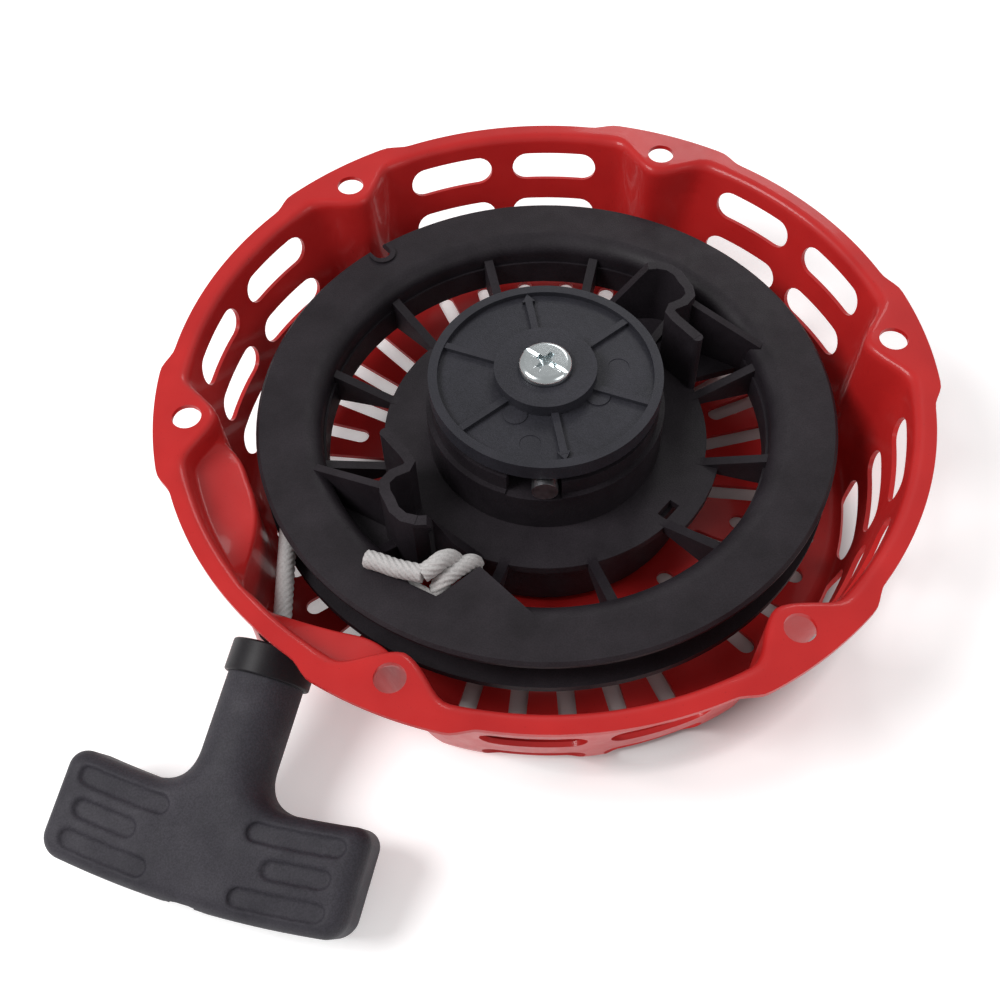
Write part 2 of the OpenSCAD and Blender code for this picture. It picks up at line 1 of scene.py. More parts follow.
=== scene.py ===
"""Recoil starter: the looks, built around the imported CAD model.

Lengths in the helpers are millimetres in the part's own frame; MM turns them into Blender's metres.
"""
import math

import bmesh
import bpy
import numpy as np
from mathutils import Matrix, Vector
from mathutils.geometry import delaunay_2d_cdt


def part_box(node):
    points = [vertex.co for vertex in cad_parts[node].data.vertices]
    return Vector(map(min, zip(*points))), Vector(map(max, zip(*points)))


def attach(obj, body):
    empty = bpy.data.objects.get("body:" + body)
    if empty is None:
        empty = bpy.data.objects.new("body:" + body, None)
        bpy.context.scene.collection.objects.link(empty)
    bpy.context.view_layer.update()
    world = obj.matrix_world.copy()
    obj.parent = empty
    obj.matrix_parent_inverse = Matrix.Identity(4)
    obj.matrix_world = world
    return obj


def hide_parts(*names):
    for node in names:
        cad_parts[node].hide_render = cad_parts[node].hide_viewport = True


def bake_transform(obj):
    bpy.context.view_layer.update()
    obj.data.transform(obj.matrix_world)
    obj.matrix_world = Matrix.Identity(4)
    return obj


MM = 0.001
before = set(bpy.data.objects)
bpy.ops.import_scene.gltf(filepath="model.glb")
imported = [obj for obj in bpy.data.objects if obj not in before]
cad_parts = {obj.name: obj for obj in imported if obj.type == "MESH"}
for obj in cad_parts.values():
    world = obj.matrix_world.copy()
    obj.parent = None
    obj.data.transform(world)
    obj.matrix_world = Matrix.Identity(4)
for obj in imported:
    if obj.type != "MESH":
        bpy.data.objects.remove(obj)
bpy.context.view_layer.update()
scene = bpy.context.scene
scene.view_settings.view_transform = "Standard"
scene.view_settings.look = "None"


# ---------- camera, light and floor ----------

CAMERA_PLACE = Vector((-36.16, -234.18, 285.43)) * MM
CAMERA_AIM = Vector((-19.08, -42.64, 0.0)) * MM
CAMERA_ROLL = math.radians(2.32)
CAMERA_LENS = 43.9


def add_camera():
    """Camera where the photo was taken from, rolled about its line of sight."""
    camera = bpy.data.objects.new("camera", bpy.data.cameras.new("camera"))
    scene.collection.objects.link(camera)
    forward = (CAMERA_AIM - CAMERA_PLACE).normalized()
    right = forward.cross(Vector((0, 0, 1))).normalized()
    up = right.cross(forward)
    up = up * math.cos(CAMERA_ROLL) + right * math.sin(CAMERA_ROLL)
    right = forward.cross(up)
    turn = Matrix((right, up, -forward)).transposed()
    camera.matrix_world = Matrix.Translation(CAMERA_PLACE) @ turn.to_4x4()
    camera.data.lens = CAMERA_LENS
    camera.data.clip_start = 0.01
    camera.data.clip_end = 20
    scene.camera = camera


def add_area_light(name, place, size, watts):
    """Round lamp that points at the origin."""
    light = bpy.data.lights.new(name, "AREA")
    light.shape = "DISK"
    light.size = size
    light.energy = watts
    holder = bpy.data.objects.new(name, light)
    holder.location = place
    holder.rotation_euler = (-Vector(place)).to_track_quat("-Z", "Y").to_euler()
    scene.collection.objects.link(holder)


def add_world(strength):
    world = bpy.data.worlds.new("studio")
    scene.world = world
    world.use_nodes = True
    back = world.node_tree.nodes["Background"]
    back.inputs["Color"].default_value = (1.0, 1.0, 1.0, 1)
    back.inputs["Strength"].default_value = strength


TABLE_SHADE = Vector((15, -20, 0)) * MM      # middle of the table's painted shadow, a darker patch
TABLE_SHADE_EDGE = (0.76, 0.88)              # where it ends, in tenths of a metre


def add_floor():
    """White table with a painted shadow: grey, and not glowing, where the part keeps the light from it."""
    floor_z = min(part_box("housing_shell")[0].z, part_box("handle_grip")[0].z)
    bpy.ops.mesh.primitive_plane_add(size=6, location=(0, 0, floor_z))
    floor = bpy.context.object
    floor.name = "floor"
    white, tree, shader = new_material("floor_white_painted_shadow")
    where = tree.nodes.new("ShaderNodeTexCoord")
    offset = tree.nodes.new("ShaderNodeVectorMath")
    offset.operation = "DISTANCE"
    offset.inputs[1].default_value = TABLE_SHADE
    tree.links.new(where.outputs["Object"], offset.inputs[0])
    reach = tree.nodes.new("ShaderNodeMapRange")
    reach.inputs["From Max"].default_value = 0.1
    tree.links.new(offset.outputs["Value"], reach.inputs["Value"])
    dark, light = TABLE_SHADE_EDGE
    # painted shadow: the table's colour goes grey near the part's middle
    tone = ramp(tree, reach.outputs["Result"], [(dark, (0.42, 0.38, 0.38)), (light, (0.93, 0.93, 0.93))])
    tree.links.new(tone, shader.inputs["Base Color"])
    # the table glows evenly, except in the painted shadow, where the glow fades out
    glow_off_in_painted_shadow = ramp(tree, reach.outputs["Result"], [(dark, (0.0, 0.0, 0.0)), (light, (1.0, 1.0, 1.0))])
    tree.links.new(glow_off_in_painted_shadow, shader.inputs["Emission Color"])
    shader.inputs["Emission Strength"].default_value = 0.3
    shader.inputs["Roughness"].default_value = 0.9
    floor.data.materials.append(white)


# ---------- materials ----------

def new_material(name):
    """A material with its node tree and its shader."""
    material = bpy.data.materials.new(name)
    material.use_nodes = True
    tree = material.node_tree
    return material, tree, tree.nodes["Principled BSDF"]


def coords(tree):
    """Object coordinates."""
    return tree.nodes.new("ShaderNodeTexCoord").outputs["Object"]


def noise(tree, vector, size_mm, detail=3, roughness=0.55):
    """Noise whose features are about size_mm across."""
    node = tree.nodes.new("ShaderNodeTexNoise")
    node.inputs["Scale"].default_value = 1 / (size_mm * MM)
    node.inputs["Detail"].default_value = detail
    node.inputs["Roughness"].default_value = roughness
    tree.links.new(vector, node.inputs["Vector"])
    return node.outputs["Fac"]


def ramp(tree, value, stops):
    """Colour or grey by value; stops are (position, (r, g, b))."""
    node = tree.nodes.new("ShaderNodeValToRGB")
    while len(node.color_ramp.elements) < len(stops):
        node.color_ramp.elements.new(0.5)
    for element, (position, colour) in zip(node.color_ramp.elements, stops):
        element.position = position
        element.color = (*colour, 1)
    tree.links.new(value, node.inputs["Fac"])
    return node.outputs["Color"]


def grey(tree, value, low, high, start=0.3, end=0.7):
    """Grey that goes from low to high as the value goes from start to end."""
    return ramp(tree, value, [(start, (low,) * 3), (end, (high,) * 3)])


def bump(tree, shader, height, strength, distance_mm, below=None):
    """Bump on the shader, on top of an earlier one when that is given."""
    node = tree.nodes.new("ShaderNodeBump")
    node.inputs["Strength"].default_value = strength
    node.inputs["Distance"].default_value = distance_mm * MM
    tree.links.new(height, node.inputs["Height"])
    if below is not None:
        tree.links.new(below, node.inputs["Normal"])
    tree.links.new(node.outputs["Normal"], shader.inputs["Normal"])
    return node.outputs["Normal"]


def multiply(tree, first, second, share=1.0):
    """Product of two colours."""
    node = tree.nodes.new("ShaderNodeMix")
    node.data_type = "RGBA"
    node.blend_type = "MULTIPLY"
    node.inputs["Factor"].default_value = share
    tree.links.new(first, node.inputs[6])
    tree.links.new(second, node.inputs[7])
    return node.outputs[2]


def red_paint():
    """Sprayed gloss enamel: a faint orange peel, slow changes of tone and a few dust specks."""
    material, tree, shader = new_material("red_paint")
    at = coords(tree)
    tone = ramp(tree, noise(tree, at, 26, 2), [(0.3, (0.40, 0.012, 0.012)), (0.7, (0.49, 0.018, 0.017))])
    specks = grey(tree, noise(tree, at, 0.7, 2), 0.72, 1.0, 0.24, 0.34)
    tree.links.new(multiply(tree, tone, specks), shader.inputs["Base Color"])
    tree.links.new(grey(tree, noise(tree, at, 5, 4), 0.34, 0.46), shader.inputs["Roughness"])
    shader.inputs["Specular IOR Level"].default_value = 0.2
    shader.inputs["Coat Weight"].default_value = 0.22
    shader.inputs["Coat Roughness"].default_value = 0.08
    peel = bump(tree, shader, noise(tree, at, 1.6, 2), 0.25, 0.05)
    bump(tree, shader, noise(tree, at, 14, 1), 0.3, 0.12, below=peel)
    return material


def moulded_plastic(name, dark, light, rough, grain_mm, grain, specular):
    """Glass-filled nylon: a fine grain, cloudy tone and a sheen that changes with the mould flow."""
    material, tree, shader = new_material(name)
    at = coords(tree)
    cloud = ramp(tree, noise(tree, at, 17, 5, 0.65), [(0.3, dark), (0.72, light)])
    speckle = grey(tree, noise(tree, at, grain_mm, 3), 0.6, 1.0, 0.35, 0.65)
    tree.links.new(multiply(tree, cloud, speckle, 0.9), shader.inputs["Base Color"])
    tree.links.new(grey(tree, noise(tree, at, 9, 5), rough[0], rough[1]), shader.inputs["Roughness"])
    shader.inputs["Specular IOR Level"].default_value = specular
    fine = bump(tree, shader, noise(tree, at, grain_mm, 3), grain, 0.12)
    bump(tree, shader, noise(tree, at, 7, 2), 0.15, 0.15, below=fine)
    return material


def plated_metal(name, dark, light, rough):
    """Bright metal with fine tool marks and faint stains."""
    material, tree, shader = new_material(name)
    shader.inputs["Metallic"].default_value = 1
    at = coords(tree)
    tone = ramp(tree, noise(tree, at, 3, 4), [(0.3, dark), (0.7, light)])
    tree.links.new(tone, shader.inputs["Base Color"])
    tree.links.new(grey(tree, noise(tree, at, 0.5, 4), rough[0], rough[1]), shader.inputs["Roughness"])
    bump(tree, shader, noise(tree, at, 0.35, 3), 0.06, 0.01)
    return material


def rope_fibre():
    """White nylon: fine filaments, slightly off-white in patches."""
    material, tree, shader = new_material("rope_fibre")
    at = coords(tree)
    tone = ramp(tree, noise(tree, at, 0.45, 3), [(0.3, (0.36, 0.345, 0.34)), (0.6, (0.47, 0.455, 0.45))])
    tree.links.new(tone, shader.inputs["Base Color"])
    shader.inputs["Roughness"].default_value = 0.62
    shader.inputs["Sheen Weight"].default_value = 0.35
    shader.inputs["Sheen Roughness"].default_value = 0.4
    shader.inputs["Subsurface Weight"].default_value = 0.12
    shader.inputs["Subsurface Radius"].default_value = (0.001, 0.001, 0.001)
    bump(tree, shader, noise(tree, at, 0.2, 2), 0.2, 0.04)
    return material


# ---------- mesh helpers ----------

def net_surface(field, origin, step):
    """Quads on the zero surface of a field sampled on a grid: one point per crossed cell."""
    cells = np.array(field.shape) - 1
    total = np.zeros((*cells, 3))
    count = np.zeros(cells)
    crossed = []
    for axis in range(3):
        near = np.take(field, range(0, cells[axis]), axis)
        far = np.take(field, range(1, cells[axis] + 1), axis)
        cross = (near < 0) != (far < 0)
        part = np.where(cross, near / np.where(cross, near - far, 1), 0)
        crossed.append((cross, near < 0))
        one, two = [k for k in range(3) if k != axis]
        for i in (0, 1):
            for j in (0, 1):
                window = [slice(None)] * 3
                window[one] = slice(i, i + cells[one])
                window[two] = slice(j, j + cells[two])
                hit = cross[tuple(window)]
                total[..., axis] += hit * part[tuple(window)]
                total[..., one] += hit * i
                total[..., two] += hit * j
                count += hit
    used = count > 0
    number = np.cumsum(used.ravel()).reshape(used.shape) - 1
    where = np.argwhere(used)
    points = np.array(origin) + step * (where + total[used] / count[used][:, None])
    faces = []
    for axis, (cross, inward) in enumerate(crossed):
        one, two = (axis + 1) % 3, (axis + 2) % 3
        place = np.argwhere(cross)
        i, j = place[:, one], place[:, two]
        place = place[(i > 0) & (j > 0) & (i < cells[one]) & (j < cells[two])]
        corners = []
        for i, j in ((1, 1), (0, 1), (0, 0), (1, 0)):
            cell = place.copy()
            cell[:, one] -= i
            cell[:, two] -= j
            corners.append(number[tuple(cell.T)])
        quads = np.stack(corners, 1)
        out = inward[tuple(place.T)]
        faces += np.where(out[:, None], quads, quads[:, ::-1]).tolist()
    return points, faces


def grid(low, high, step):
    """Coordinates of every point of a grid between two corners."""
    axes = [np.arange(low[k], high[k] + step, step) for k in range(3)]
    return np.meshgrid(*axes, indexing="ij")


def make_piece(name, points_mm, faces, body, slot, material, smooth=True):
    """A visual piece from points and faces; body is None when it is given one later."""
    mesh = bpy.data.meshes.new(name)
    mesh.from_pydata([Vector(p) * MM for p in points_mm], [], faces)
    mesh.validate()
    piece = bpy.data.objects.new(name, mesh)
    scene.collection.objects.link(piece)
    mesh.materials.append(material)
    if smooth:
        mesh.shade_smooth()
    if body:
        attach(piece, body)
    return piece


def soften(piece, width_mm, angle=35, segments=2):
    """Rounds the sharp edges and keeps the broad faces flat."""
    bevel = piece.modifiers.new("edges", "BEVEL")
    bevel.width = width_mm * MM
    bevel.segments = segments
    bevel.limit_method = "ANGLE"
    bevel.angle_limit = math.radians(angle)
    bevel.miter_outer = "MITER_ARC"
    bevel.use_clamp_overlap = True
    normals = piece.modifiers.new("normals", "WEIGHTED_NORMAL")
    normals.keep_sharp = False
    normals.weight = 70


def refine(node, name, body, material, width_mm, segments=2):
    """A piece that starts from a CAD node's own shape, with its edges rounded."""
    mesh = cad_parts[node].data.copy()
    build = bmesh.new()
    build.from_mesh(mesh)
    bmesh.ops.remove_doubles(build, verts=build.verts, dist=0.002 * MM)
    bmesh.ops.dissolve_limit(build, angle_limit=math.radians(0.6), verts=build.verts, edges=build.edges)
    build.to_mesh(mesh)
    build.free()
    if "custom_normal" in mesh.attributes:
        mesh.attributes.remove(mesh.attributes["custom_normal"])
    mesh.materials.clear()
    mesh.materials.append(material)
    mesh.shade_smooth()
    piece = bpy.data.objects.new(name, mesh)
    scene.collection.objects.link(piece)
    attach(piece, body)
    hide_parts(node)
    if width_mm:
        soften(piece, width_mm, segments=segments)
    return piece


def polar(radius, degrees, z):
    angle = math.radians(degrees)
    return radius * math.cos(angle), radius * math.sin(angle), z


def blend_min(a, b, reach):
    """The smaller of two distances, with a fillet where they are less than reach apart."""
    h = np.maximum(reach - np.abs(a - b), 0) / reach
    return np.minimum(a, b) - h * h * reach / 4


# ---------- housing ----------

SHEET = 1.5
BOLT_R = 108.0
BOLT_HOLE_R = 4.4
FLANGE_R = 115.5
TAB_R = 118.0
TAB_HALF = 11.5
TAB_STEP = 60
TAB_BLEND = 4.4          # degrees over which a tab runs out into the flange
WALL_TOP = (109.0, -3.0)
WALL_SLOPE = 0.187
FLOOR_Z = -53.0
DISH_Z = -51.0
DISH_R = 28.0
DISH_EDGE_R = 32.0
LOBE_REACH = 97.5
LOBE_DRAFT = 0.03
LOBE_DEPTH = 15.0
LOBE_HALF = 9.46
LOBE_POWER = 1.6
LOBE_BLEND = 3.6
SHELF_TOP_Z = -7.5
SHELF_LOW_Z = -11.5
BAY_FLOOR_Z = -39.5
EXIT_FROM, EXIT_TO = -180.0, -120.0
# Deep wall beside the rope exit: radius and angle of its inside face
EXIT_CONTOUR = [
    (104, -180), (98, -177.5), (94.6, -174), (93.6, -170), (93.4, -165), (95.3, -160), (100, -155.5),
    (106.5, -151.2), (109.2, -148.5), (109.6, -146.2), (107, -143.5), (103.6, -140), (99, -134),
    (95.7, -128), (98, -122.5), (104, -120),
]
SLOT_PAIRS = [30, 90, 150, -30, -90]
SLOT_SPREAD = 9.9
SLOT_LEN, SLOT_H = 29.5, 10.0
SLOT_HEIGHTS = [-11.3, -29.0, -46.5]
FLOOR_GROUP = 26.5
FLOOR_STEP = 10
FLOOR_SLOT_W = 5.5
FLOOR_SLOT_OUT = 91.0
FLOOR_SLOT_IN = (55.0, 66.0)
SEAM_ANGLE = 54          # crosses no slot and no hole in any of the six sections


def cone_r(z):
    """Radius of the side wall at a height."""
    return WALL_TOP[0] + (z - WALL_TOP[1]) * WALL_SLOPE


def exit_r(angle):
    """Radius of the deep wall at an angle, on a smooth curve through the contour's points."""
    for i in range(len(EXIT_CONTOUR) - 1):
        (r1, a1), (r2, a2) = EXIT_CONTOUR[i], EXIT_CONTOUR[i + 1]
        if a1 <= angle <= a2:
            r0, a0 = EXIT_CONTOUR[max(i - 1, 0)]
            r3, a3 = EXIT_CONTOUR[min(i + 2, len(EXIT_CONTOUR) - 1)]
            t = (angle - a1) / (a2 - a1)
            m1 = (r2 - r0) / (a2 - a0) * (a2 - a1)
            m2 = (r3 - r1) / (a3 - a1) * (a2 - a1)
            return ((2 * t**3 - 3 * t**2 + 1) * r1 + (t**3 - 2 * t**2 + t) * m1
                    + (3 * t**2 - 2 * t**3) * r2 + (t**3 - t**2) * m2)
    return None


def housing_corners(angle):
    """Corners of the section at an angle: (radius, height, rounding), from the flange's edge to the axis."""
    angle = (angle + 180) % 360 - 180
    from_tab = (angle + TAB_STEP / 2) % TAB_STEP - TAB_STEP / 2
    tab = min(max((TAB_HALF + TAB_BLEND / 2 - abs(from_tab)) / TAB_BLEND, 0), 1)
    edge = FLANGE_R + (TAB_R - FLANGE_R) * tab * tab * (3 - 2 * tab)
    deep = exit_r(angle) if EXIT_FROM <= angle <= EXIT_TO else None

    def wall(z, level):
        base = cone_r(z)
        if deep is not None and level == "upper":
            base = max(base, deep)
        if deep is not None and level == "middle":
            base = deep
        if deep is not None and level == "lower":
            base = min(base, deep)
        dip = LOBE_DEPTH * (abs(from_tab) / LOBE_HALF) ** LOBE_POWER
        lobe = LOBE_REACH + LOBE_DRAFT * (z - FLOOR_Z) + dip
        return blend_min(base, lobe, LOBE_BLEND)

    return [
        (edge, 0, 0),
        (wall(0, "upper"), 0, 3.8),
        (wall(SHELF_TOP_Z, "upper"), SHELF_TOP_Z, 1.6),
        (wall(SHELF_LOW_Z, "middle"), SHELF_LOW_Z, 2.2),
        (wall(BAY_FLOOR_Z, "middle"), BAY_FLOOR_Z, 1.5),
        (wall(BAY_FLOOR_Z - 1.5, "lower"), BAY_FLOOR_Z - 1.5, 1.5),
        (wall(FLOOR_Z, "lower"), FLOOR_Z, 8),
        (DISH_EDGE_R, FLOOR_Z, 2),
        (DISH_R, DISH_Z, 2),
        (0, DISH_Z, 0),
    ]


CORNER_STEPS = 6
SIDE_STEPS = [4, 2, 2, 10, 1, 4, 14, 1, 6]


def housing_profile(angle):
    """Points (radius, height) of the section at an angle, the same number at every angle."""
    corners = [np.array(c, float) for c in housing_corners(angle)]
    ends = [corners[0][:2]]
    pieces = []
    for i in range(1, len(corners) - 1):
        before, here, after = corners[i - 1][:2], corners[i][:2], corners[i + 1][:2]
        back, ahead = before - here, after - here
        back_len, ahead_len = np.linalg.norm(back), np.linalg.norm(ahead)
        cosine = np.clip(-(back @ ahead) / (back_len * ahead_len), -1, 1)
        rounding = corners[i][2]
        reach = max(rounding * math.tan(math.acos(cosine) / 2), 0.3 * rounding)
        reach = min(reach, 0.45 * back_len, 0.45 * ahead_len)
        start, end = here + back / back_len * reach, here + ahead / ahead_len * reach
        pieces.append([(1 - t) ** 2 * start + 2 * t * (1 - t) * here + t * t * end
                       for t in np.linspace(0, 1, CORNER_STEPS + 1)])
    line = []
    last = ends[0]
    for steps, corner in zip(SIDE_STEPS, pieces):
        line += [last + (corner[0] - last) * t for t in np.linspace(0, 1, steps + 1)[:-1]]
        line += corner[:-1]
        last = corner[-1]
    line += [last + (corners[-1][:2] - last) * t for t in np.linspace(0, 1, SIDE_STEPS[-1] + 1)]
    return np.array(line)


profiles = {}


def profile_at(angle):
    key = round(angle, 4)
    if key not in profiles:
        profiles[key] = housing_profile(key)
    return profiles[key]


def housing_point(angle, row):
    """The point in space at an angle and a place along the profile, counted in rows."""
    line = profile_at(angle)
    i = min(int(row), len(line) - 2)
    r, z = line[i] + (line[i + 1] - line[i]) * (row - i)
    return polar(r, angle, z)


def row_at(angle, value, axis, first, last):
    """Where along the profile the radius (axis 0) or the height (axis 1) falls to a value."""
    line = profile_at(angle)[first:last, axis]
    for i in range(len(line) - 1):
        if line[i] >= value >= line[i + 1] and line[i] > line[i + 1]:
            return first + i + (line[i] - value) / (line[i] - line[i + 1])
    return None


# Rows of the profile between which the wall and the floor lie
WALL_FIRST = SIDE_STEPS[0]
FLOOR_FIRST = WALL_FIRST + CORNER_STEPS + 20
FLOOR_LAST = sum(SIDE_STEPS[:7]) + 7 * CORNER_STEPS


def stadium(length, width, step=2.0):
    """Outline of a slot with round ends, centred on the origin, along the first axis."""
    half, r = (length - width) / 2, width / 2
    ends = [(half + r * math.cos(a), r * math.sin(a)) for a in np.linspace(-math.pi / 2, math.pi / 2, 13)]
    side = [(x, r) for x in np.linspace(half, -half, max(2, round(2 * half / step)) + 1)[1:-1]]
    upper = ends + side
    return upper + [(-x, -y) for x, y in upper]


def wall_slot_outline(centre, height):
    """Outline of a slot round the side wall, as (angle, row) pairs like the two below."""
    points = []
    for along, up in stadium(SLOT_LEN, SLOT_H):
        z = height + up
        angle = centre + math.degrees(math.asin(along / cone_r(z)))
        points.append((angle, row_at(angle, z, 1, WALL_FIRST, FLOOR_LAST)))
    return points


def floor_slot_outline(centre, inner):
    inner_end = inner - FLOOR_SLOT_W / 2
    middle, length = (FLOOR_SLOT_OUT + inner_end) / 2, FLOOR_SLOT_OUT - inner_end
    points = []
    for along, across in stadium(length, FLOOR_SLOT_W):
        radius = math.hypot(middle + along, across)
        angle = centre + math.degrees(math.atan2(across, middle + along))
        points.append((angle, row_at(angle, radius, 0, FLOOR_FIRST, FLOOR_LAST + 3)))
    return points


def bolt_hole_outline(centre):
    points = []
    for a in np.linspace(0, 2 * math.pi, 33)[:-1]:
        x, y = BOLT_R + BOLT_HOLE_R * math.cos(a), BOLT_HOLE_R * math.sin(a)
        angle = centre + math.degrees(math.atan2(y, x))
        points.append((angle, row_at(angle, math.hypot(x, y), 0, 0, WALL_FIRST + 4)))
    return points


def inside(polygon, u, v):
    """Which of the points (u, v) lie inside a polygon."""
    within = np.zeros(len(u), bool)
    for (u1, v1), (u2, v2) in zip(polygon, polygon[1:] + polygon[:1]):
        if v1 != v2:
            crosses = ((v1 > v) != (v2 > v)) & (u < (u2 - u1) * (v - v1) / (v2 - v1) + u1)
            within ^= crosses
    return within


def housing_section(index):
    """Where one sixth of the pressing starts, and the outlines of the holes in it."""
    low = SEAM_ANGLE + index * TAB_STEP
    outlines = [bolt_hole_outline(low + TAB_STEP - SEAM_ANGLE)]
    for a in SLOT_PAIRS:
        for side in (-1, 1):
            centre = a + side * SLOT_SPREAD
            if (centre - low) % 360 < TAB_STEP:
                centre = low + (centre - low) % 360
                outlines += [wall_slot_outline(centre, z) for z in SLOT_HEIGHTS]
    for group in range(6):
        for i in range(-2, 3):
            centre = FLOOR_GROUP + group * TAB_STEP + i * FLOOR_STEP
            if (centre - low) % 360 < TAB_STEP:
                centre = low + (centre - low) % 360
                outlines.append(floor_slot_outline(centre, FLOOR_SLOT_IN[abs(i) % 2]))
    return low, outlines


def net_scale():
    """Distance along the profile of each row, so that the net's triangles come out even."""
    steps = np.linalg.norm(np.diff(profile_at(30), axis=0), axis=1)
    return np.concatenate([[0], np.cumsum(np.maximum(steps, 0.4))])


def housing_net():
    """The pressing, sixth by sixth, as a net of triangles that follows every hole's outline."""
    points, faces = [], []
    along = net_scale()
    rows = len(along)
    to_row = lambda s: np.interp(s, along, np.arange(rows))
    to_net = lambda row: np.interp(row, np.arange(rows), along)
    degree = 1.75        # length in the net of one degree
    clear = 0.55         # no other point comes nearer to an outline
    for index in range(6):
        low, outlines = housing_section(index)
        flat = [[(a * degree, float(to_net(r))) for a, r in line] for line in outlines]
        lattice = [(a * degree, s) for a in np.arange(low, low + TAB_STEP + 0.5, 1.0) for s in along]
        u, v = np.array(lattice).T
        keep = np.ones(len(u), bool)
        for line in flat:
            lo, hi = np.min(line, 0) - 0.7, np.max(line, 0) + 0.7
            near = (u > lo[0]) & (u < hi[0]) & (v > lo[1]) & (v < hi[1])
            where = np.nonzero(near)[0]
            line_u, line_v = np.array(line).T
            gap = np.min(np.hypot(u[where, None] - line_u, v[where, None] - line_v), 1)
            keep[where[inside(line, u[where], v[where]) | (gap < clear)]] = False
        flat_points = [Vector(p) for p in zip(u[keep], v[keep])]
        edges = []
        for line in flat:
            first = len(flat_points)
            flat_points += [Vector(p) for p in line]
            edges += [(first + i, first + (i + 1) % len(line)) for i in range(len(line))]
        verts, _, triangles, _, _, _ = delaunay_2d_cdt(flat_points, edges, [], 0, 1e-6, False)
        centre = np.array([sum((verts[i] for i in t), Vector((0, 0))) / len(t) for t in triangles])
        hole = np.zeros(len(triangles), bool)
        for line in flat:
            lo, hi = np.min(line, 0), np.max(line, 0)
            where = np.nonzero((centre > lo).all(1) & (centre < hi).all(1))[0]
            hole[where[inside(line, centre[where, 0], centre[where, 1])]] = True
        base = len(points)
        points += [housing_point(p.x / degree, float(to_row(p.y))) for p in verts]
        faces += [[base + i for i in t] for t, cut in zip(triangles, hole) if not cut]
    return points, faces


def housing_piece(material):
    """The pressing as a sheet of even thickness, its outer face on the net."""
    points, faces = housing_net()
    piece = make_piece("housing_pressing", points, faces, None, "red_paint", material)
    build = bmesh.new()
    build.from_mesh(piece.data)
    bmesh.ops.remove_doubles(build, verts=build.verts, dist=0.02 * MM)
    bmesh.ops.recalc_face_normals(build, faces=build.faces)
    build.faces.ensure_lookup_table()
    middle = max(build.faces, key=lambda f: -f.calc_center_median().xy.length)
    if middle.normal.z < 0:
        bmesh.ops.reverse_faces(build, faces=build.faces)
    build.to_mesh(piece.data)
    build.free()
    sheet = piece.modifiers.new("sheet", "SOLIDIFY")
    sheet.thickness = SHEET * MM
    sheet.offset = -1
    sheet.use_even_offset = True
    soften(piece, 0.4, 55)
    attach(piece, "housing")
    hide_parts("housing_shell")
    return piece


# ---------- rope ----------

ROPE_R = 2.75
STRANDS = 8
ROPE_PITCH = 17.0
COIL_SQUEEZE = 0.06      # the wound rope is this much thinner
LAY_Z, LAY_PITCH = -21, 3
INNER_LAY_R, OUTER_LAY_R = 74.3, 79
LEAD_HIDDEN = 31         # length of the lead that the wound rope covers


def curve_through(points, step):
    """Points a step apart on a smooth curve through the given ones, and the distance of each along it."""
    points = [np.array(p, float) for p in points]
    line = []
    for i in range(len(points) - 1):
        before, a = points[max(i - 1, 0)], points[i]
        b, after = points[i + 1], points[min(i + 2, len(points) - 1)]
        count = max(2, int(np.linalg.norm(b - a) / 0.2))
        for t in np.linspace(0, 1, count, endpoint=False):
            line.append(0.5 * (2 * a + (b - before) * t + (2 * before - 5 * a + 4 * b - after) * t * t
                               + (3 * a - before - 3 * b + after) * t**3))
    line.append(points[-1])
    line = np.array(line)
    along = np.concatenate([[0], np.cumsum(np.linalg.norm(np.diff(line, axis=0), axis=1))])
    wanted = np.linspace(0, along[-1], max(3, int(along[-1] / step) + 1))
    return np.stack([np.interp(wanted, along, line[:, k]) for k in range(3)], 1), wanted


def laid_rope(line, along, radius, around=48, closed=False, taper=()):
    """Rope of STRANDS strands laid round each other, along a line of points. Returns points and faces."""
    tangent = np.roll(line, -1, 0) - np.roll(line, 1, 0) if closed else np.gradient(line, axis=0)
    tangent /= np.linalg.norm(tangent, axis=1)[:, None]
    side = np.cross(tangent[0], (0, 0, 1) if abs(tangent[0][2]) < 0.9 else (1, 0, 0))
    points = []
    for i, here in enumerate(line):
        side = side - tangent[i] * (side @ tangent[i])
        side /= np.linalg.norm(side)
        up = np.cross(tangent[i], side)
        size = radius
        for end, reach in taper:
            off = abs(along[i] - (along[-1] if end else 0)) / reach
            size *= math.sqrt(max(1 - (1 - min(off, 1)) ** 2, 0.02))
        for k in range(around):
            a = 2 * math.pi * k / around
            strand = abs(math.sin((a * STRANDS - 2 * math.pi * STRANDS * along[i] / ROPE_PITCH) / 2))
            r = size * (0.74 + 0.26 * strand**0.6)
            points.append(here + r * (math.cos(a) * side + math.sin(a) * up))
    rings = len(line)
    faces = []
    for i in range(rings if closed else rings - 1):
        for k in range(around):
            a, b = i * around + k, i * around + (k + 1) % around
            c, d = (a + around) % len(points), (b + around) % len(points)
            faces.append((a, b, d, c))
    if not closed:
        faces.append(tuple(reversed(range(around))))
        faces.append(tuple(range(len(points) - around, len(points))))
    return points, faces


def rope_piece(name, route, body, node, material, step=0.7, taper=()):
    """Rope along a route; taper lists (end, reach) pairs, with 0 for the start and 1 for the end."""
    line, along = curve_through(route, step)
    points, faces = laid_rope(line, along, ROPE_R, taper=taper)
    piece = make_piece(name, points, faces, body, "rope_white", material)
    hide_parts(node)
    return piece


